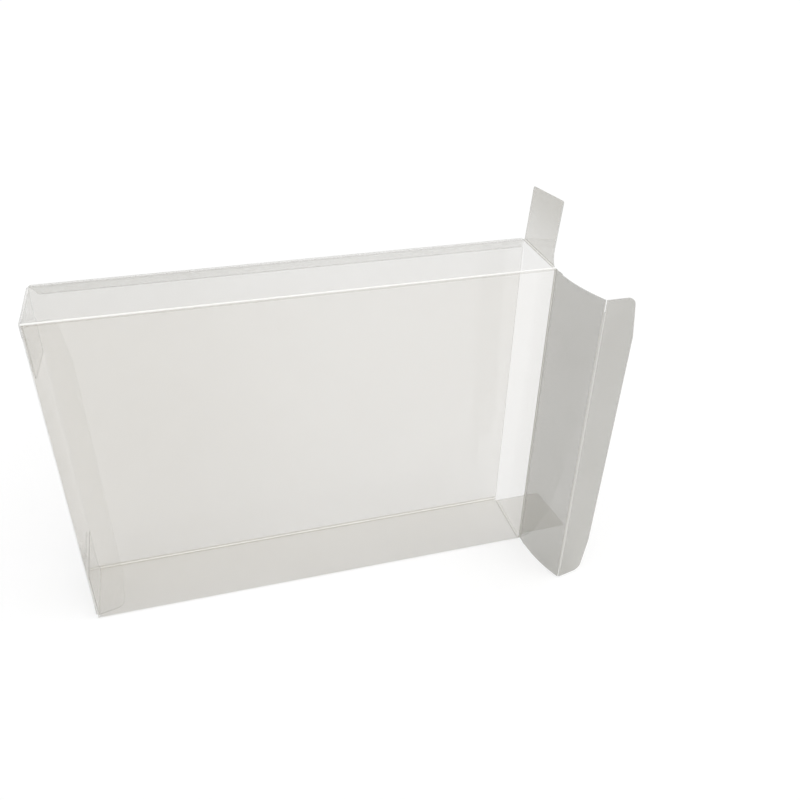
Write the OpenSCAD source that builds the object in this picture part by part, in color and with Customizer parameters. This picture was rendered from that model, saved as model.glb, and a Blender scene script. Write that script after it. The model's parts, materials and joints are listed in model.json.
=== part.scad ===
// A protector for a boxed game: one sheet of clear film, die-cut, creased and glued into a sleeve.
// It stands on its narrow side. +X points out of the open end, -Y is the front, the origin is the
// middle of the base. The two ends are turned alike about +Z: each lid is creased to one wall and
// its tuck slides in behind the other.

/* [Sleeve] */
// Length between the creases of the two lids
sleeve_l = 195; // [160:1:240]
// Height as it stands
sleeve_h = 142; // [110:1:180]
// Depth, outside of the front wall to outside of the back wall
sleeve_d = 31; // [27:1:45]
// Width of the flap that is glued under the top wall
glue_w = 7.3; // [5:0.1:10]
// How far the glued flap's ends are cut on the slant
glue_slant = 4; // [2:0.5:8]

/* [Film] */
// Thickness of the sheet
film_t = 0.4; // [0.3:0.05:0.5]
// Outer radius of a crease that stays folded
crease_r = 0.6; // [0.6:0.05:0.8]
// Open line beside a crease that swings
crease_gap = 0.6; // [0.55:0.05:0.8]
// Open line beside the crease of the tuck
tuck_gap = 0.4; // [0.35:0.05:0.6]

/* [Lids] */
// How far the open lid leans off straight forward, towards the open end
lid_lean = 13; // [0:1:25]
// Rise of the open lid's bow in the middle
lid_bow = 1; // [0.3:0.1:1.4]
// Play between a shut tuck and the wall that it slides behind
tuck_play = 0.3; // [0.25:0.05:0.6]
// Step from the sleeve's top and bottom to the lid's edges
lid_step = 0.9; // [0.8:0.1:2]
// Length over which the lid's edges slope down to that step
lid_slope_l = 4; // [2:0.5:8]

/* [Tucks] */
// Depth of a tuck
tuck_w = 14; // [10:0.5:15]
// Fold of the open tuck out of its lid's plane
tuck_fold = 82; // [60:1:90]
// Fold of the shut tuck, past square so that it clears the wall when the lid swings
tuck_fold_shut = 103.5; // [103:0.5:105]
// How much narrower a tuck is at its ends
tuck_taper = 2.2; // [0:0.1:4]
// Length of the taper at each end
tuck_taper_l = 17; // [8:1:30]
// Radius of the tuck's outer corners
tuck_corner_r = 3.5; // [1:0.5:5]
// Length of the slit at each end of a tuck's crease
slit_l = 5; // [2:0.5:10]

/* [Dust flaps] */
// Length of a dust flap on the side of the lid's crease
dust_l_lid = 25.6; // [15:0.1:30]
// Length of a dust flap on the side of the tuck
dust_l_tuck = 22.8; // [15:0.1:30]
// How far the shoulder cuts in from the lid's crease
dust_shoulder = 3; // [1:0.1:5]
// Length of that shoulder
dust_shoulder_l = 5; // [2:0.5:8]
// Room left for the tuck beside the flaps at the open end
dust_room_open = 1.4; // [1.4:0.1:3]
// Room left for the tuck beside the flaps at the shut end
dust_room_shut = 2.1; // [2:0.1:3]
// Distance of the dust creases behind the lid creases
dust_setback = 0.7; // [0.7:0.05:1]
// Tilt of the raised dust flap towards the open end
dust_tilt = 4; // [0:1:20]

/* [Hidden] */
$fn = 32;
arc_fn = 720;
eps = 0.01;
half_t = film_t / 2;
lid_x = sleeve_l / 2;
wall_y = sleeve_d / 2 - half_t;
wall_end = lid_x - crease_gap;
dust_x = lid_x - dust_setback;
dust_wall_end = dust_x - crease_gap;
bend_x = dust_x + half_t - crease_r;
corner_y = sleeve_d / 2 - crease_r;
front_high = sleeve_h - crease_r;
back_high = sleeve_h - film_t - crease_r;
lid_w = 2 * wall_y - film_t - tuck_play;
lid_low = lid_step;
lid_high = sleeve_h - lid_step;
bow_r = (lid_w * lid_w / 4 + lid_bow * lid_bow) / (2 * lid_bow);
root_y = wall_y - crease_r;
flap_corner_r = 0.8;
film = [0.86, 0.87, 0.85, 0.5];

function unit(v) = v / norm(v);

// One corner p of an outline between the points before and after it, rounded to radius r
function corner(before, p, after, r, steps = 8) =
    let (
        a = unit(before - p),
        b = unit(after - p),
        half = acos(a * b) / 2,
        centre = p + unit(a + b) * r / sin(half),
        from = p + a * r / tan(half) - centre,
        to = p + b * r / tan(half) - centre,
        start = atan2(from.y, from.x),
        turn = (atan2(to.y, to.x) - start + 540) % 360 - 180
    )
    [for (k = [0 : steps]) centre + r * [cos(start + turn * k / steps), sin(start + turn * k / steps)]];

// An outline whose corner i has the radius radii[i], or stays sharp at 0
function rounded(points, radii) =
    let (n = len(points))
    [for (i = [0 : n - 1]) each
        radii[i] == 0 ? [points[i]]
        : corner(points[(i + n - 1) % n], points[i], points[(i + 1) % n], radii[i])];

// Dust flap as [out, across], with the lid's crease at the low end of across
function dust_outline(room) = rounded(
    [
        [0, -root_y],
        [dust_shoulder_l, -wall_y + dust_shoulder],
        [dust_l_lid, -wall_y + dust_shoulder],
        [dust_l_tuck, wall_y - room],
        [0, wall_y - room]
    ],
    [0, 2, flap_corner_r, flap_corner_r, 0]);

// Lid as [out, up], up to the given width
function lid_outline(width) = [
    [0, lid_low - film_t],
    [lid_slope_l, lid_low],
    [width, lid_low],
    [width, lid_high],
    [lid_slope_l, lid_high],
    [0, lid_high + film_t]
];

// Tuck as [out, up], with a slit beside each end of its crease
function tuck_outline() = rounded(
    [
        [0, lid_low + slit_l],
        [tuck_gap, lid_low + slit_l],
        [tuck_gap, lid_low],
        [tuck_w - tuck_taper, lid_low],
        [tuck_w, lid_low + tuck_taper_l],
        [tuck_w, lid_high - tuck_taper_l],
        [tuck_w - tuck_taper, lid_high],
        [tuck_gap, lid_high],
        [tuck_gap, lid_high - slit_l],
        [0, lid_high - slit_l]
    ],
    [0, 0, 0, tuck_corner_r, 0, 0, tuck_corner_r, 0, 0, 0]);

// Upright sheet from an outline of [out, up], centred on its own plane
module upright(thick) {
    rotate([90, 0, 0])
        linear_extrude(thick, center = true)
            children();
}

// Sheet along X from a section drawn as [Y, Z]
module along_x(length) {
    rotate([90, 0, 90])
        linear_extrude(length, center = true)
            children();
}

// Front or back wall, from the crease at its foot up to the given height
module side_wall(y, high) {
    translate([-wall_end, y - half_t, crease_r])
        cube([2 * wall_end, film_t, high - crease_r]);
}

// Top or bottom wall, between its dust creases, from the front crease back to the given depth
module flat_wall(z, back) {
    translate([-bend_x, -corner_y, z])
        cube([bend_x + dust_wall_end, corner_y + back, film_t]);
}

// A crease along X about a line at [y, z], turned by quarters from the front one at the foot
module wall_crease(y, z, quarter) {
    along_x(2 * wall_end)
        translate([y, z])
            rotate(90 * quarter)
                bend_section();
}

// Dust flap of the shut end, folded down from the top wall
module folded_dust_flap() {
    translate([-bend_x, 0, sleeve_h - crease_r]) {
        mirror([0, 1, 0]) {
            rotate([0, 90, 0])
                translate([0, 0, -crease_r])
                    linear_extrude(film_t)
                        polygon(dust_outline(dust_room_shut));
            translate([0, -root_y, 0])
                rotate([-90, 0, 0])
                    linear_extrude(root_y + wall_y - dust_room_shut)
                        bend_section();
        }
    }
}

// Quarter ring of a crease folded square
module bend_section() {
    difference() {
        intersection() {
            circle(crease_r);
            translate([-crease_r - eps, -crease_r - eps])
                square(crease_r + eps);
        }
        circle(crease_r - film_t);
    }
}

// Rounded edge of a lid at its crease
module lid_root() {
    translate([0, 0, lid_low - film_t])
        cylinder(h = lid_high - lid_low + 2 * film_t, r = half_t);
}

// The open lid's bowed panel, out along X from its crease, with the bow towards -Y
module bowed_panel(width) {
    intersection() {
        translate([lid_w / 2, bow_r - lid_bow, 0])
            difference() {
                cylinder(h = sleeve_h, r = bow_r + half_t, $fn = arc_fn);
                translate([0, 0, -1])
                    cylinder(h = sleeve_h + 2, r = bow_r - half_t, $fn = arc_fn);
            }
        upright(8)
            polygon(lid_outline(width));
    }
    lid_root();
}

// The shut lid's panel, which its dust flaps keep flat
module flat_panel(width) {
    upright(film_t)
        polygon(lid_outline(width));
    lid_root();
}

module tuck_panel() {
    upright(film_t)
        polygon(tuck_outline());
    translate([0, 0, lid_low + slit_l])
        cylinder(h = lid_high - lid_low - 2 * slit_l, r = half_t);
}

// A dust flap out along X from its rounded root
module dust_panel() {
    translate([0, 0, -half_t])
        linear_extrude(film_t)
            polygon(dust_outline(dust_room_open));
    translate([0, -root_y, 0])
        rotate([-90, 0, 0])
            cylinder(h = root_y + wall_y - dust_room_open, r = half_t);
}

module front_wall() {
    color(film)
        side_wall(-wall_y, front_high);
}

module back_wall() {
    color(film)
        side_wall(wall_y, back_high);
}

module top_wall() {
    color(film)
        flat_wall(sleeve_h - film_t, sleeve_d / 2);
}

module bottom_wall() {
    color(film)
        flat_wall(0, corner_y);
}

module creases() {
    color(film) {
        wall_crease(-corner_y, crease_r, 0);
        wall_crease(corner_y, crease_r, 1);
        wall_crease(-corner_y, front_high, 3);
    }
}

// The back wall turns in under the top wall, which is glued on over this flap
module glue_flap() {
    color(film) {
        wall_crease(corner_y, back_high, 2);
        translate([0, 0, sleeve_h - 2 * film_t])
            linear_extrude(film_t)
                polygon([
                    [-dust_wall_end, corner_y],
                    [-wall_end + glue_slant, sleeve_d / 2 - glue_w],
                    [wall_end - glue_slant, sleeve_d / 2 - glue_w],
                    [dust_wall_end, corner_y]
                ]);
    }
}

module end_upper_dust_flap() {
    color(film)
        folded_dust_flap();
}

module end_lower_dust_flap() {
    color(film)
        translate([0, 0, sleeve_h])
            mirror([0, 0, 1])
                folded_dust_flap();
}

module at_lid_crease() {
    translate([lid_x, -wall_y, 0])
        rotate(lid_lean - 90)
            children();
}

module lid() {
    color(film)
        at_lid_crease()
            bowed_panel(lid_w - tuck_gap);
}

module lid_tuck() {
    color(film)
        at_lid_crease()
            translate([lid_w, 0, 0])
                rotate(tuck_fold)
                    tuck_panel();
}

module upper_dust_flap() {
    color(film)
        translate([dust_x, 0, sleeve_h - half_t])
            rotate([0, dust_tilt - 90, 0])
                dust_panel();
}

module lower_dust_flap() {
    color(film)
        translate([dust_x, 0, half_t])
            dust_panel();
}

// The shut lid with its tuck, folded in behind the front wall
module end_lid() {
    color(film)
        translate([-lid_x, wall_y, 0])
            rotate(-90) {
                flat_panel(lid_w);
                translate([lid_w, 0, 0])
                    rotate(tuck_fold_shut)
                        tuck_panel();
            }
}

front_wall();
back_wall();
top_wall();
bottom_wall();
creases();
glue_flap();
end_upper_dust_flap();
end_lower_dust_flap();
lid();
lid_tuck();
upper_dust_flap();
lower_dust_flap();
end_lid();
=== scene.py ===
import json
import math

import bmesh
import bpy
from mathutils import Matrix, Vector

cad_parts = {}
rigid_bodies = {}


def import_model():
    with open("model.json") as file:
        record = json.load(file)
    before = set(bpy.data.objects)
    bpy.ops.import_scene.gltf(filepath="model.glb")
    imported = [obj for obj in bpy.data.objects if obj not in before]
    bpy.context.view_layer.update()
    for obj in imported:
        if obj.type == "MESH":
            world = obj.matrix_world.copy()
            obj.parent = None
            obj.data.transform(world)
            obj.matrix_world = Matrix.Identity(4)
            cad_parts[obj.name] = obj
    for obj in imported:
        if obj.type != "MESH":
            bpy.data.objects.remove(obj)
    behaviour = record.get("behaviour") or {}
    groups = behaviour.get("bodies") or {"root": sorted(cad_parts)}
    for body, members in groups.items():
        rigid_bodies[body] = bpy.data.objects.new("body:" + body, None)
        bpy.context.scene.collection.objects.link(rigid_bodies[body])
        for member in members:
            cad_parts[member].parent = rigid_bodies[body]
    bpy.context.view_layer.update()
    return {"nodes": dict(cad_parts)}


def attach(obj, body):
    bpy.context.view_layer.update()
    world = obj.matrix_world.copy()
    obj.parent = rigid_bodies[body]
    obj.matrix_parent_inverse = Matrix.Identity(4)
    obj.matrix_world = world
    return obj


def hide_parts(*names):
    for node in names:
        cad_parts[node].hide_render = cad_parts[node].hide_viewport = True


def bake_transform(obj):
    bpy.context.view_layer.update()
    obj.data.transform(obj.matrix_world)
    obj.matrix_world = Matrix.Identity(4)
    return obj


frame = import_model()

mm = 0.001
print("frame loaded:", len(frame["nodes"]), "nodes")

# Camera, as the photograph was taken
cameraLook = {
    "place": (-0.04367, -0.27897, 0.27255),
    "right": (0.96136, -0.27461, 0.01932),
    "up": (0.13618, 0.53537, 0.83357),
    "forward": (0.23925, 0.79873, -0.55208),
    "lens": 36.65,
    "sensor": 36.0,
    "clipNear": 0.01, "clipFar": 50,
}


def addCamera(look):
    data = bpy.data.cameras.new("photoCamera")
    data.lens = look["lens"]
    data.sensor_width = look["sensor"]
    data.clip_start = look["clipNear"]
    data.clip_end = look["clipFar"]
    camera = bpy.data.objects.new("photoCamera", data)
    bpy.context.scene.collection.objects.link(camera)
    back = -Vector(look["forward"])
    turned = Matrix((look["right"], look["up"], back)).transposed()
    camera.matrix_world = Matrix.Translation(look["place"]) @ turned.to_4x4()
    bpy.context.scene.camera = camera


addCamera(cameraLook)
print("camera placed")


# Shader wires: a socket that Python operators work on
class Wire:
    def __init__(self, tree, socket=None):
        self.tree = tree
        self.socket = socket

    def node(self, kind, settings=None, inputs=None, output=0):
        made = self.tree.nodes.new("ShaderNode" + kind)
        for name, value in (settings or {}).items():
            setattr(made, name, value)
        for name, value in (inputs or {}).items():
            if isinstance(value, Wire):
                self.tree.links.new(value.socket, made.inputs[name])
            else:
                made.inputs[name].default_value = value
        return Wire(self.tree, made.outputs[output] if made.outputs else None)

    def maths(self, operation, first, second=0.0):
        return self.node("Math", {"operation": operation}, {0: first, 1: second})

    def __add__(self, other):
        return self.maths("ADD", self, other)

    def __radd__(self, other):
        return self.maths("ADD", other, self)

    def __sub__(self, other):
        return self.maths("SUBTRACT", self, other)

    def __rsub__(self, other):
        return self.maths("SUBTRACT", other, self)

    def __mul__(self, other):
        return self.maths("MULTIPLY", self, other)

    def __rmul__(self, other):
        return self.maths("MULTIPLY", other, self)

    def __pow__(self, other):
        return self.maths("POWER", self, other)

    def __abs__(self):
        return self.maths("ABSOLUTE", self)

    def most(self, other):
        return self.maths("MAXIMUM", self, other)

    def least(self, other):
        return self.maths("MINIMUM", self, other)

    def fade(self, start, end):     # 0 before start, 1 after end, smooth between
        settings = {"interpolation_type": "SMOOTHSTEP"}
        return self.node("MapRange", settings, {"Value": self, "From Min": start, "From Max": end})


def newMaterial(name):
    material = bpy.data.materials.new(name)
    material.use_nodes = True
    material.node_tree.nodes.clear()
    return material, Wire(material.node_tree)


def placeInMm(base):    # a point of the piece, as one vector and as its x, y and z
    where = base.node("TexCoord", output="Object")
    scaled = base.node("VectorMath", {"operation": "SCALE"}, {0: where, "Scale": 1 / mm})
    return scaled, [base.node("SeparateXYZ", None, {0: scaled}, axis) for axis in range(3)]


def noise(base, where, scale, detail):      # it swings about 0.5
    return base.node("TexNoise", None, {"Vector": where, "Scale": scale, "Detail": detail})


def mixColour(base, share, first, second):      # 6, 7 and 2 are the Mix node's colour sockets
    first, second = [v if isinstance(v, Wire) else (*v, 1) for v in (first, second)]
    return base.node("Mix", {"data_type": "RGBA"}, {0: share, 6: first, 7: second}, output=2)


def lineDistance(place, crease):    # crease: the axis it runs along and its place on the other two
    along, first, second = crease
    others = [place[i] for i in range(3) if i != along]
    return ((others[0] - first) ** 2.0 + (others[1] - second) ** 2.0) ** 0.5


# What the clear film looks like: cover is how much of one face is film body and not clear
# On the slant it may show more body (slantShade), up to where the look grazes the film: painted shade, a
# denser grey that stands in for shaded surroundings seen through the film
filmLook = {
    "cover": 0.118,
    "slantShade": 0.0, "slantFrom": 0.24, "slantTo": 0.50,
    "grazeFrom": 0.60, "grazeTo": 0.84,
    "body": (0.40, 0.34, 0.215),
    "slantBody": (0.40, 0.385, 0.33),
    "bodyRoughness": 0.6,
    "gloss": 0.04, "glossPower": 5.0, "glossRoughness": 0.08,
    # crease cover and colour: partly the bent film's own whitening, partly painted highlight
    "creaseCover": 0.40, "creaseColour": (0.84, 0.83, 0.79), "creaseWidth": (0.30, 0.75),
    "mottle": 0.14, "mottleScale": 0.030, "mottleDetail": 4.0,
    "waveHeight": 0.12, "waveScale": 0.022, "waveDetail": 2.0,
    "scratchDepth": 0.0008, "scratchScale": 0.5, "scratchDetail": 3.0, "scratchStrength": 0.6,
}


def filmMaterial(name, creases, changes=None, extra=None):
    look = {**filmLook, **(changes or {})}
    material, base = newMaterial(name)
    where, place = placeInMm(base)
    mottle = noise(base, where, look["mottleScale"], look["mottleDetail"])
    facing = base.node("LayerWeight", output="Facing")
    slant = facing.fade(look["slantFrom"], look["slantTo"])
    # painted shade: more film body on slanted faces, up to where the look grazes the film
    shadeOnSlant = slant * (1.0 - facing.fade(look["grazeFrom"], look["grazeTo"]))
    cover = (look["cover"] + shadeOnSlant * look["slantShade"]) * ((mottle - 0.5) * look["mottle"] + 1.0)
    colour = mixColour(base, slant, look["body"], look["slantBody"])
    white = None
    # along each crease: partly the bent film's own whitening, partly painted highlight
    for crease in creases:
        close = 1.0 - lineDistance(place, crease).fade(*look["creaseWidth"])
        white = close if white is None else white.most(close)
    colour = mixColour(base, white, colour, look["creaseColour"])
    cover = cover + white * look["creaseCover"]
    if extra:
        cover, colour = extra(base, where, place, cover, colour)
    cover = cover.least(1.0).most(0.0)
    wave = noise(base, where, look["waveScale"], look["waveDetail"])
    scratch = noise(base, where, look["scratchScale"], look["scratchDetail"])
    soft = base.node("Bump", None, {"Height": wave, "Distance": look["waveHeight"] * mm})
    normal = base.node("Bump", None, {
        "Height": scratch, "Strength": look["scratchStrength"],
        "Distance": look["scratchDepth"] * mm, "Normal": soft,
    })
    body = base.node("BsdfPrincipled", None, {
        "Base Color": colour, "Roughness": look["bodyRoughness"], "Specular IOR Level": 0.0, "Normal": soft,
    })
    clear = base.node("BsdfTransparent", None, {"Color": (1, 1, 1, 1)})
    film = base.node("MixShader", None, {0: cover, 1: clear, 2: body})
    gloss = base.node("BsdfGlossy", None, {
        "Color": (1, 1, 1, 1), "Roughness": look["glossRoughness"], "Normal": normal,
    })
    share = (facing ** look["glossPower"]) * (1 - look["gloss"]) + look["gloss"]
    surface = base.node("MixShader", None, {0: share, 1: film, 2: gloss})
    base.node("OutputMaterial", None, {"Surface": surface})
    return material


# The sheet's cut edges, which show more of the film's body than its faces do
edgeLook = {
    "cover": 0.40, "coverChange": 0.3,
    "colour": (0.50, 0.50, 0.47),
    "roughness": 0.30, "ior": 1.5,
    "grainScale": 0.9, "grainDetail": 2.0,
}


def edgeMaterial(name, look):
    material, base = newMaterial(name)
    where = placeInMm(base)[0]
    grain = noise(base, where, look["grainScale"], look["grainDetail"])
    cover = (grain - 0.5) * look["coverChange"] + look["cover"]
    body = base.node("BsdfPrincipled", None, {
        "Base Color": (*look["colour"], 1), "Roughness": look["roughness"], "IOR": look["ior"],
    })
    clear = base.node("BsdfTransparent", None, {"Color": (1, 1, 1, 1)})
    surface = base.node("MixShader", None, {0: cover, 1: clear, 2: body})
    base.node("OutputMaterial", None, {"Surface": surface})
    return material


cutEdge = edgeMaterial("cutEdge", edgeLook)
print("film materials ready")

# Working in edit mode, in millimetres: how near counts as on a line, at a corner or on a plane
near = {"line": 0.01, "corner": 0.05, "plane": 0.002, "cut": 0.0001}


def activate(piece):
    bpy.ops.object.select_all(action="DESELECT")
    piece.select_set(True)
    bpy.context.view_layer.objects.active = piece


def pick(piece, test, kind="EDGE"):     # selects what lies wholly where test says
    bpy.ops.mesh.select_mode(type=kind)
    bpy.ops.mesh.select_all(action="DESELECT")
    mesh = bmesh.from_edit_mesh(piece.data)
    for part in {"VERT": mesh.verts, "EDGE": mesh.edges, "FACE": mesh.faces}[kind]:
        corners = [part] if kind == "VERT" else part.verts
        part.select_set(all(test(v.co / mm) for v in corners))
    mesh.select_flush_mode()
    bmesh.update_edit_mesh(piece.data)


def addSheet(name, low, high, columns=1, rows=1):   # a flat grid between two corners, left in edit mode
    low, high = Vector(low), Vector(high)
    span = high - low
    upright = span.y == 0       # it stands along X, or else it lies flat
    bpy.ops.object.select_all(action="DESELECT")
    bpy.ops.mesh.primitive_grid_add(
        x_subdivisions=columns, y_subdivisions=rows, size=1, location=(low + high) / 2 * mm,
        rotation=(math.pi / 2 if upright else 0, 0, 0))
    piece = bpy.context.object
    piece.name = piece.data.name = name
    piece.scale = Vector((span.x, span.z if upright else span.y, 1)) * mm
    bpy.ops.object.transform_apply(location=True, rotation=True, scale=True)
    bpy.ops.object.mode_set(mode="EDIT")
    return piece


def startPen(place, heading, axis):     # where the growing edge is, its way on, and what it turns about
    return {"place": Vector(place), "heading": Vector(heading).normalized(), "axis": Vector(axis)}


def run(pen, *lengths):     # the sheet grows straight on from the edge that is selected
    for length in lengths:
        step = pen["heading"] * length
        bpy.ops.mesh.extrude_region_move(TRANSFORM_OT_translate={"value": step * mm})
        pen["place"] = pen["place"] + step


def fold(pen, degrees, radius, steps):      # with no window, spin turns the other way
    side = pen["axis"].cross(pen["heading"]) * math.copysign(1, degrees)
    centre = pen["place"] + side * radius
    angle = math.radians(degrees)
    bpy.ops.mesh.spin(steps=steps, angle=-angle, center=centre * mm, axis=pen["axis"])
    turned = Matrix.Rotation(angle, 3, pen["axis"])
    pen["place"] = centre + turned @ (pen["place"] - centre)
    pen["heading"] = turned @ pen["heading"]


def trim(piece, test, point, normal):   # of the faces that test picks, what lies beyond the plane goes
    pick(piece, test, "FACE")
    point, facing = Vector(point), Vector(normal).normalized()
    bpy.ops.mesh.bisect(plane_co=point * mm, plane_no=facing, threshold=near["cut"] * mm)
    pick(piece, lambda p: test(p) and (p - point).dot(facing) > -near["plane"], "FACE")
    bpy.ops.mesh.delete(type="FACE")


def roundCorner(piece, point, reach, steps):
    point = Vector(point)
    pick(piece, lambda p: (p - point).length < near["corner"], "VERT")
    bpy.ops.mesh.bevel(offset_type="OFFSET", offset=reach * mm, segments=steps, affect="VERTICES")


def tidySheet(piece):       # from edit mode, with doubles merged and all faces to one side
    bpy.ops.mesh.select_all(action="SELECT")
    bpy.ops.mesh.remove_doubles(threshold=near["line"] * mm)
    bpy.ops.mesh.normals_make_consistent(inside=False)
    bpy.ops.object.mode_set(mode="OBJECT")


# The sheet's sizes, the same as the frame's
sheet = {
    "length": 195.0, "height": 142.0, "depth": 31.0,
    "gauge": 0.4,           # the solids' film
    "thickness": 0.38,      # this film, a little thinner so that it stays inside theirs
    "bend": 0.4,
    "strip": 0.6,           # how far a crease reaches to either side
    "dustInset": 0.7,       # how far inside the lids' creases the dust flaps have theirs
    "smoothAngle": 32,
}
sideY = (sheet["depth"] - sheet["gauge"]) / 2       # the middle of the film in each wall
baseZ = sheet["gauge"] / 2
topZ = sheet["height"] - baseZ
glueZ = topZ - sheet["gauge"]
lidX = sheet["length"] / 2                          # the creases at either end, and where the walls stop
dustX = lidX - sheet["dustInset"]
wallEnd = lidX - sheet["strip"]
dustEnd = dustX - sheet["strip"]
shutEnd = sheet["bend"] - dustX


def tangent(radius, degrees):   # from the corner of a fold back to where its round begins
    return radius * math.tan(math.radians(abs(degrees)) / 2)


def facesAlongX(normal):
    return abs(normal.x) > 0.9


def rimAt(x):       # finds the rim that closes a sheet squarely at x
    return lambda p, n: abs(p.x - x) < near["corner"] and facesAlongX(n)


def thicken(piece, thickness, film, folded):    # folded says which rims are creases and not cut edges
    activate(piece)
    piece.data.materials.clear()
    piece.data.materials.append(film)
    piece.data.materials.append(cutEdge)
    wall = piece.modifiers.new("thickness", "SOLIDIFY")
    wall.thickness = thickness * mm
    wall.offset = 0
    wall.use_even_offset = True
    wall.material_offset_rim = 1
    bpy.ops.object.modifier_apply(modifier=wall.name)
    for face in piece.data.polygons:
        if face.material_index == 1 and folded(face.center / mm, face.normal):
            face.material_index = 0
    bpy.ops.object.shade_smooth_by_angle(angle=math.radians(sheet["smoothAngle"]))


# Sleeve: four walls and the glued flap
sleeveSettings = {
    "highlightLines": (        # painted highlights along the top front crease and the bottom back one: y, z, share and width
        (-sideY, topZ, 0.74, (0.28, 0.58)),
        (sideY, baseZ, 0.85, (0.55, 1.0)),
    ),
    "highlightColour": (0.98, 0.975, 0.95),
    # painted shade: a darker line just under the top front crease
    "creaseShadeLine": (140.95, 0.10, 0.36), "creaseShadeFront": (-15.2, -15.0), "creaseShadeCover": 0.12,
    "upright": (0.8, 1.6),      # where the upright walls rise from the bottom one
    # painted light: the upright walls are made clearer to the right and toward their foot
    "paintedLightAcross": (-95.0, 30.0, 0.24), "paintedLightDown": (10.0, 95.0, 0.18),
    "glueCover": 0.05, "glueColour": (0.52, 0.50, 0.47),
    "glueFront": (8.0, 8.4), "glueUnder": (141.0, 141.2), "glueOver": (141.5, 141.6),
    "smearScale": 0.22, "smearDetail": 3.0, "smear": (0.42, 0.62), "smearLeast": 0.2,
    "glueDepth": 7.3,
    "glueInset": 4.0,
    "glueCornerX": 96.2,
    "cornerRim": 0.3,
    "bendSteps": 6,
    "columns": 26,
}


def buildSleeve(settings):
    bend, steps = sheet["bend"], settings["bendSteps"]
    corner = sideY - bend
    piece = addSheet("sleeveFilm", (-wallEnd, -corner, baseZ), (wallEnd, corner, baseZ),
                     columns=settings["columns"])
    pick(piece, lambda p: p.y > corner - near["line"])      # back wall, and the glued flap at its top
    pen = startPen((0, corner, baseZ), (0, 1, 0), (1, 0, 0))
    fold(pen, 90, bend, steps)
    run(pen, glueZ - baseZ - 2 * bend)
    fold(pen, 90, bend, steps)
    run(pen, corner - (sheet["depth"] / 2 - settings["glueDepth"]))
    pick(piece, lambda p: p.y < near["line"] - corner)      # front wall and top wall
    pen = startPen((0, -corner, baseZ), (0, -1, 0), (1, 0, 0))
    fold(pen, -90, bend, steps)
    run(pen, topZ - baseZ - 2 * bend)
    fold(pen, -90, bend, steps)
    run(pen, corner + sheet["depth"] / 2)

    def flat(p):
        return abs(p.z - topZ) < near["line"] or abs(p.z - baseZ) < near["line"]

    def glued(p):
        return abs(p.z - glueZ) < near["line"]

    trim(piece, flat, (dustEnd, 0, 0), (1, 0, 0))
    trim(piece, flat, (shutEnd, 0, 0), (-1, 0, 0))
    cornerX = settings["glueCornerX"]
    rise = corner - sheet["depth"] / 2 + settings["glueDepth"]
    inset = cornerX - wallEnd + settings["glueInset"]
    for side in (1, -1):
        trim(piece, glued, (side * cornerX, corner, 0), (side * rise, -inset, 0))
    tidySheet(piece)
    return piece


def sleeveCrease(p, n):     # the ends that carry a flap or a lid are creases, and the others are cut
    rim = sleeveSettings["cornerRim"]
    low, high, side = baseZ + rim, topZ - rim, sideY - rim
    flatEnd = (p.z > high or p.z < low) and abs(p.y) < sideY - sheet["bend"]
    lidEnd = ((p.x > 0 and p.y < -side) or (p.x < 0 and p.y > side)) and low < p.z < high
    return facesAlongX(n) and (flatEnd or lidEnd)


def sleeveDetails(base, where, place, cover, colour):
    look = sleeveSettings
    x, y, z = place
    upright = z.fade(*look["upright"])
    start, end, gain = look["paintedLightAcross"]          # painted light: a little clearer away from the shut end
    cover = cover * (1.0 - upright * x.fade(start, end) * gain)
    start, end, gain = look["paintedLightDown"]            # and toward the foot of the upright walls, also painted light
    cover = cover * (1.0 - upright * (1.0 - z.fade(start, end)) * gain)
    line, inner, outer = look["creaseShadeLine"]           # painted shade: a darker line along the front wall, just under its top crease
    creaseShade = (1.0 - abs(z - line).fade(inner, outer)) * (1.0 - y.fade(*look["creaseShadeFront"]))
    cover = cover + creaseShade * look["creaseShadeCover"]
    # painted highlights: whiter, denser film along these two creases
    for lineY, lineZ, share, width in look["highlightLines"]:
        highlight = 1.0 - lineDistance(place, (0, lineY, lineZ)).fade(*width)
        cover = cover + highlight * share
        colour = mixColour(base, highlight, colour, look["highlightColour"])
    smear = noise(base, where, look["smearScale"], look["smearDetail"])     # glue over the flap
    strip = y.fade(*look["glueFront"]) * z.fade(*look["glueUnder"]) * (1.0 - z.fade(*look["glueOver"]))
    glue = strip * (smear.fade(*look["smear"]) * (1 - look["smearLeast"]) + look["smearLeast"])
    cover = cover + glue * look["glueCover"]
    colour = mixColour(base, glue, colour, look["glueColour"])
    return cover, colour


sleeve = buildSleeve(sleeveSettings)
sleeveFilm = filmMaterial("sleeveClear", [(0, sideY, glueZ)], extra=sleeveDetails)
thicken(sleeve, sheet["thickness"], sleeveFilm, sleeveCrease)
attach(sleeve, "sleeve")
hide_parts("front_wall", "back_wall", "top_wall", "bottom_wall", "creases", "glue_flap")
print("sleeve folded:", len(sleeve.data.polygons), "faces")

# Lids and their tucks
lidSettings = {
    # painted shade: the lid and tuck are given more film body on the slant
    "film": {"slantShade": 0.29, "slantFrom": 0.06, "slantTo": 0.26, "grazeFrom": 0.62, "grazeTo": 0.82},
    "shutFilm": {"cover": 0.035, "creaseCover": 0.10},
    "rootLow": 0.5, "rootHigh": 141.5,
    "low": 0.9, "high": 141.1,
    "slope": 4.0,
    "slopePast": 0.6, "slopeShort": 1.2,    # how far the cuts at the slope's end reach over each other
    "width": 29.75,
    "lean": 13.0,
    "bow": 1.8,
    "bowSteps": 12,
    "rows": 26,
    "creaseSteps": 6,
    "fold": 82.0,
    "shutFold": 103.5,
    "tuckDepth": 14.0, "tuckTaper": 2.2, "taperLength": 17.0,
    "cornerRadius": 3.5, "cornerSteps": 8,
    "slit": 5.0,
    "twistTop": -5.0, "twistBase": 8.0,
}


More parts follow.
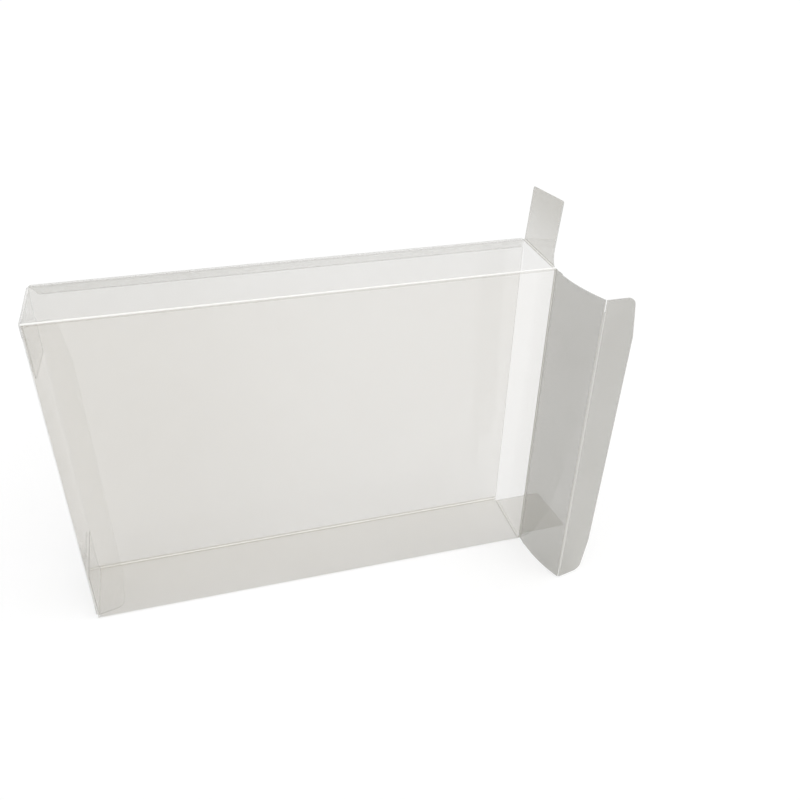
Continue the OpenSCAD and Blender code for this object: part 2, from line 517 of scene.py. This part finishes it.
def flatPoint(point, height=0):
    return Vector((point.x, point.y, height))


def bowArc(chord, bow):     # its radius, and the degrees that it turns from the chord to either end
    radius = (chord ** 2 / 4 + bow ** 2) / (2 * bow)
    return radius, math.degrees(math.asin(chord / 2 / radius))


def buildLid(name, settings, crease, wallHeading, turnIn, bow, turnTuck):
    bend, steps = sheet["bend"], settings["creaseSteps"]
    crease = Vector(crease)
    wall = Vector(wallHeading)
    start = crease - wall * sheet["strip"]
    lead = crease - wall * tangent(bend, turnIn)
    low, high = min(start.x, lead.x), max(start.x, lead.x)
    piece = addSheet(name, (low, crease.y, settings["rootLow"]), (high, crease.y, settings["rootHigh"]),
                     rows=settings["rows"])
    pick(piece, lambda p: abs(p.x - lead.x) < near["line"])
    pen = startPen((lead.x, lead.y, 0), wall, (0, 0, 1))
    fold(pen, turnIn, bend, steps)
    leadIn, leadTuck = tangent(bend, turnIn), tangent(bend, turnTuck)
    if bow:
        radius, half = bowArc(settings["width"], bow)
        used = math.degrees((leadIn + leadTuck) / radius)
        fold(pen, 2 * half - used, radius, settings["bowSteps"])
    else:
        run(pen, settings["slope"] - leadIn, settings["width"] - settings["slope"] - leadTuck)
    lidEdge = pen["place"].copy()
    lidHeading = pen["heading"].copy()
    fold(pen, turnTuck, bend, steps)
    tuckEdge = pen["place"].copy()
    tuckHeading = pen["heading"].copy()
    run(pen, settings["tuckDepth"] - leadTuck)
    return piece, lidEdge, lidHeading, tuckEdge, tuckHeading


def trimTuck(piece, settings, tuckEdge, heading, turnTuck):     # tapered ends with round corners
    def onTuck(p):
        return (flatPoint(p) - tuckEdge).dot(heading) > -near["line"]

    root = tuckEdge - heading * tangent(sheet["bend"], turnTuck)
    taper, length = settings["tuckTaper"], settings["taperLength"]
    interior = 90 + math.degrees(math.atan(taper / length))
    reach = settings["cornerRadius"] / math.tan(math.radians(interior / 2))
    for side, edge in ((1, settings["high"]), (-1, settings["low"])):
        trim(piece, onTuck, (0, 0, edge), (0, 0, side))
        point = flatPoint(root + heading * (settings["tuckDepth"] - taper), edge)
        trim(piece, onTuck, point, heading * length + Vector((0, 0, side * taper)))
        roundCorner(piece, point, reach, settings["cornerSteps"])


def cutSlits(piece, settings, lidEdge, lidHeading, tuckEdge, tuckHeading):
    def onCrease(p):
        pastLid = (flatPoint(p) - lidEdge).dot(lidHeading) > -near["line"]
        return pastLid and (flatPoint(p) - tuckEdge).dot(tuckHeading) < near["line"]

    for side, edge in ((1, settings["high"] - settings["slit"]), (-1, settings["low"] + settings["slit"])):
        trim(piece, onCrease, (0, 0, edge), (0, 0, side))


def trimLid(piece, settings, crease, heading):      # its ends slope in from the crease, then run level
    slope = settings["slope"]

    def away(p):
        return (flatPoint(p) - Vector(crease)).dot(heading)

    def onSlope(p):
        return -near["line"] < away(p) < slope + settings["slopePast"]

    def pastSlope(p):
        return away(p) > slope - settings["slopeShort"]

    ends = ((1, settings["high"], settings["rootHigh"]), (-1, settings["low"], settings["rootLow"]))
    for side, edge, root in ends:
        sloped = heading * abs(edge - root) + Vector((0, 0, side * slope))
        trim(piece, onSlope, flatPoint(Vector(crease), root), sloped)
        trim(piece, pastSlope, (0, 0, edge), (0, 0, side))


def splitOff(piece, test, name):    # the faces that test picks become a piece of their own
    pick(piece, test, "FACE")
    before = set(bpy.data.objects)
    bpy.ops.mesh.separate(type="SELECTED")
    made = [o for o in bpy.data.objects if o not in before][0]
    made.name = made.data.name = name
    return made


def twistTuck(piece, settings, root):   # the loose tuck turns a little about its crease from top to base
    activate(piece)
    bpy.ops.object.mode_set(mode="EDIT")
    heights = sorted({round(v.co.z, 6) for v in bmesh.from_edit_mesh(piece.data).verts})
    for height in heights:
        share = (height / mm - settings["low"]) / (settings["high"] - settings["low"])
        degrees = settings["twistBase"] + (settings["twistTop"] - settings["twistBase"]) * share
        pick(piece, lambda p: abs(p.z * mm - height) < near["plane"] * mm, "VERT")
        bpy.ops.transform.rotate(value=-math.radians(degrees), orient_axis="Z", orient_type="GLOBAL",
                                 center_override=flatPoint(root) * mm)
    bpy.ops.object.mode_set(mode="OBJECT")


openCrease = (lidX, -sideY, 0)
bowTurn = bowArc(lidSettings["width"], lidSettings["bow"])[1]
openTurn = lidSettings["lean"] - 90 - bowTurn
openTuckTurn = lidSettings["fold"] - bowTurn
lid, lidEdge, lidHeading, tuckEdge, tuckHeading = buildLid(
    "lidFilm", lidSettings, openCrease, (1, 0, 0), openTurn, lidSettings["bow"], openTuckTurn)
leanBack = math.radians(lidSettings["lean"] - 90)
chordWay = Vector((math.cos(leanBack), math.sin(leanBack), 0))
trimTuck(lid, lidSettings, tuckEdge, tuckHeading, openTuckTurn)
cutSlits(lid, lidSettings, lidEdge, lidHeading, tuckEdge, tuckHeading)
trimLid(lid, lidSettings, openCrease, chordWay)
tuck = splitOff(lid, lambda p: (flatPoint(p) - lidEdge).dot(lidHeading) > -near["line"], "tuckFilm")
tidySheet(lid)
activate(tuck)
bpy.ops.object.mode_set(mode="EDIT")
tidySheet(tuck)
tuckRoot = tuckEdge - tuckHeading * tangent(sheet["bend"], openTuckTurn)
print("lid and tuck folded; tuck crease at", [round(v, 3) for v in tuckRoot])

twistTuck(tuck, lidSettings, tuckRoot)
lidCreases = [(2, *openCrease[:2]), (2, tuckRoot.x, tuckRoot.y)]
lidFilm = filmMaterial("lidClear", lidCreases, lidSettings["film"])
thicken(lid, sheet["thickness"], lidFilm, lambda p, n: abs(n.z) < 0.5)     # its upright rims are creases
thicken(tuck, sheet["thickness"], lidFilm, lambda p, n: False)
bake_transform(lid)
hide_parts("lid")
lidEdge * mm
(tuckRoot + tuckHeading * 0.35) * mm
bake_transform(tuck)
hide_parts("lid_tuck")

shutCrease = (-lidX, sideY, 0)
endLid, endEdge, endHeading, endTuckEdge, endTuckHeading = buildLid(
    "endLidFilm", lidSettings, shutCrease, (-1, 0, 0), 90, 0, lidSettings["shutFold"])
trimTuck(endLid, lidSettings, endTuckEdge, endTuckHeading, lidSettings["shutFold"])
cutSlits(endLid, lidSettings, endEdge, endHeading, endTuckEdge, endTuckHeading)
trimLid(endLid, lidSettings, shutCrease, Vector((0, -1, 0)))
tidySheet(endLid)
endRoot = endTuckEdge - endTuckHeading * tangent(sheet["bend"], lidSettings["shutFold"])
endCreases = [(2, *shutCrease[:2]), (2, endRoot.x, endRoot.y)]
endFilm = filmMaterial("endLidClear", endCreases, lidSettings["shutFilm"])
thicken(endLid, sheet["thickness"], endFilm, rimAt(-wallEnd))
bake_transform(endLid)
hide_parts("end_lid")
print("shut lid folded")

# Dust flaps, made lying along +X from a crease at x 0, with the wall on the +Z side
dustSettings = {
    "longSide": 25.55, "shortSide": 22.75,
    "rootLow": -14.7, "sideLow": -12.3,
    "columns": (1.4, 2.4, 3.6, 5.0), "shoulder": 6.5,
    "cornerReach": 0.8, "cornerSteps": 5,
    "creaseSteps": 6, "stripSteps": 8,
    "raisedLean": 4,
    "raisedFilm": {
        # painted shade: the raised flap is given more film body on the slant
        "slantShade": 0.16, "slantFrom": 0.30, "slantTo": 0.46, "grazeFrom": 0.80, "grazeTo": 0.95,
        "slantBody": (0.40, 0.365, 0.27),
        # painted highlight: a whiter, denser crease where the raised flap's top crease catches the light
        "creaseCover": 0.60, "creaseColour": (0.97, 0.965, 0.94), "creaseWidth": (0.35, 0.80),
    },
    # painted shade toward the raised flap's tip, and a little painted light over all of it
    "raisedShadeFade": (139.0, 168.0), "raisedTipShade": 0.12, "raisedLighter": 0.04,
    "shutFilm": {"cover": 0.03},
}


def buildDustFlap(flap, settings):      # room is what it leaves free at the wall beside its short side
    bend, turn, strip = sheet["bend"], flap["turn"], flap["strip"]
    high = sideY - flap["room"]
    first = tangent(bend, turn) if turn else strip
    steps = [first, *settings["columns"], settings["shoulder"], settings["longSide"]]
    piece = addSheet(flap["name"], (first, settings["rootLow"], 0), (steps[1], high, 0))
    pick(piece, lambda p: p.x > steps[1] - near["line"])
    pen = startPen((steps[1], 0, 0), (1, 0, 0), (0, 1, 0))
    for inner, outer in zip(steps[1:], steps[2:]):
        run(pen, outer - inner)
    pick(piece, lambda p: p.x < first + near["line"])
    pen = startPen((first, 0, 0), (-1, 0, 0), (0, 1, 0))
    if turn:
        fold(pen, turn, bend, settings["creaseSteps"])
        if strip - first > near["line"]:
            run(pen, strip - first)
    else:       # it lies flat, with rows across its crease to bend at
        run(pen, *[2 * strip / settings["stripSteps"]] * settings["stripSteps"])
    rise = settings["sideLow"] - settings["rootLow"]

    def sideAt(x):
        return settings["sideLow"] - rise * max(0, 1 - x / settings["shoulder"]) ** 2

    for inner, outer in zip(steps, steps[1:]):      # the curved shoulder, one straight cut to each column
        def column(p):
            return inner - near["line"] < p.x < outer + near["line"] and abs(p.z) < near["line"]
        trim(piece, column, (inner, sideAt(inner), 0), (sideAt(outer) - sideAt(inner), inner - outer, 0))
    slant = settings["longSide"] - settings["shortSide"]
    trim(piece, lambda p: p.x > settings["shoulder"] - near["line"],
         (settings["longSide"], settings["sideLow"], 0), (high - settings["sideLow"], slant, 0))
    for corner in ((settings["longSide"], settings["sideLow"], 0), (settings["shortSide"], high, 0)):
        roundCorner(piece, corner, settings["cornerReach"], settings["cornerSteps"])
    tidySheet(piece)
    return piece


def placeDustFlap(piece, crease, outWay, acrossWay, wallWay):
    turned = Matrix((outWay, acrossWay, wallWay)).transposed().to_4x4()
    piece.matrix_world = Matrix.Translation(Vector(crease) * mm) @ turned
    activate(piece)
    bpy.ops.object.transform_apply(location=True, rotation=True, scale=True)
    bpy.ops.object.mode_set(mode="EDIT")
    tidySheet(piece)


def paintedTipShade(base, where, place, cover, colour):     # painted shade: the raised flap is made darker toward its tip, and a little lighter over all
    tip = place[2].fade(*dustSettings["raisedShadeFade"]) * dustSettings["raisedTipShade"]
    return cover + tip - dustSettings["raisedLighter"], colour


lean = math.radians(dustSettings["raisedLean"])
dustFlaps = [
    {"name": "upperDustFilm", "node": "upper_dust_flap", "body": "upper_dust",
     "turn": 90 - dustSettings["raisedLean"], "room": 1.4, "strip": sheet["strip"],
     "crease": (dustX, 0, topZ), "out": (math.sin(lean), 0, math.cos(lean)), "across": (0, 1, 0),
     "wall": (-math.cos(lean), 0, math.sin(lean)), "film": dustSettings["raisedFilm"], "extra": paintedTipShade},
    {"name": "lowerDustFilm", "node": "lower_dust_flap", "body": "lower_dust",
     "turn": 0, "room": 2.0, "strip": sheet["strip"], "crease": (dustX, 0, baseZ),
     "out": (1, 0, 0), "across": (0, 1, 0), "wall": (0, 0, 1)},
    {"name": "endUpperDustFilm", "node": "end_upper_dust_flap", "body": "sleeve",
     "turn": 90, "room": 2.1, "strip": sheet["bend"], "crease": (-dustX, 0, topZ),
     "out": (0, 0, -1), "across": (0, -1, 0), "wall": (1, 0, 0), "film": dustSettings["shutFilm"]},
    {"name": "endLowerDustFilm", "node": "end_lower_dust_flap", "body": "sleeve",
     "turn": 90, "room": 2.1, "strip": sheet["bend"], "crease": (-dustX, 0, baseZ),
     "out": (0, 0, 1), "across": (0, -1, 0), "wall": (1, 0, 0), "film": dustSettings["shutFilm"]},
]
for flap in dustFlaps:
    piece = buildDustFlap(flap, dustSettings)
    placeDustFlap(piece, flap["crease"], flap["out"], flap["across"], flap["wall"])
    x, z = flap["crease"][0], flap["crease"][2]
    film = filmMaterial(flap["name"] + "Clear", [(1, x, z)], flap.get("film"), flap.get("extra"))
    thicken(piece, sheet["thickness"], film, rimAt(dustEnd if x > 0 else shutEnd))
    if flap["body"] == "sleeve":
        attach(piece, "sleeve")
    else:
        Vector((x - 0.6, 0, z)) * mm
        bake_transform(piece)
    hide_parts(flap["node"])
print("dust flaps folded")

# Table, light and background
studio = {
    "floorSize": 12.0,
    "floorDrop": 0.0003,
    "floorAlbedo": 0.62,
    "floorRoughness": 0.9,
    "floorGlow": 0.40,
    "sunStrength": 1.6,
    "sunTilt": (28, 0, 20),
    "sunWidth": 70,
    "worldStrength": 0.55,
    "clearBounces": 48,         # enough for a view through all the walls
}


def seenRays(base):     # 1 for what is seen, also in gloss or through glass, and 0 for what gives light
    seen = base.node("LightPath", output="Is Camera Ray")
    for ray in ("Is Glossy Ray", "Is Transmission Ray"):
        seen = seen.most(base.node("LightPath", output=ray))
    return seen


def buildFloor(look):
    bpy.ops.object.select_all(action="DESELECT")
    bpy.ops.mesh.primitive_plane_add(size=look["floorSize"], location=(0, 0, -look["floorDrop"]))
    floor = bpy.context.object
    floor.name = "table"
    material, base = newMaterial("tableWhite")
    albedo = look["floorAlbedo"]
    body = base.node("BsdfPrincipled", None, {
        "Base Color": (albedo, albedo, albedo, 1), "Roughness": look["floorRoughness"],
        "Specular IOR Level": 0.0,
        "Emission Color": (1, 1, 1, 1), "Emission Strength": seenRays(base) * look["floorGlow"],
    })
    base.node("OutputMaterial", None, {"Surface": body})
    floor.data.materials.append(material)


def buildLight(look):
    world = bpy.data.worlds.new("studioWorld")
    bpy.context.scene.world = world
    world.use_nodes = True
    world.node_tree.nodes.clear()
    base = Wire(world.node_tree)
    strength = seenRays(base) * (1 - look["worldStrength"]) + look["worldStrength"]
    sky = base.node("Background", None, {"Color": (1, 1, 1, 1), "Strength": strength})
    base.node("OutputWorld", None, {"Surface": sky})
    data = bpy.data.lights.new("softSun", "SUN")
    data.energy = look["sunStrength"]
    data.angle = math.radians(look["sunWidth"])
    sun = bpy.data.objects.new("softSun", data)
    sun.rotation_euler = [math.radians(v) for v in look["sunTilt"]]
    bpy.context.scene.collection.objects.link(sun)


buildFloor(studio)
buildLight(studio)
scene = bpy.context.scene
scene.view_settings.view_transform = "Standard"
scene.cycles.transparent_max_bounces = studio["clearBounces"]
print("studio ready")
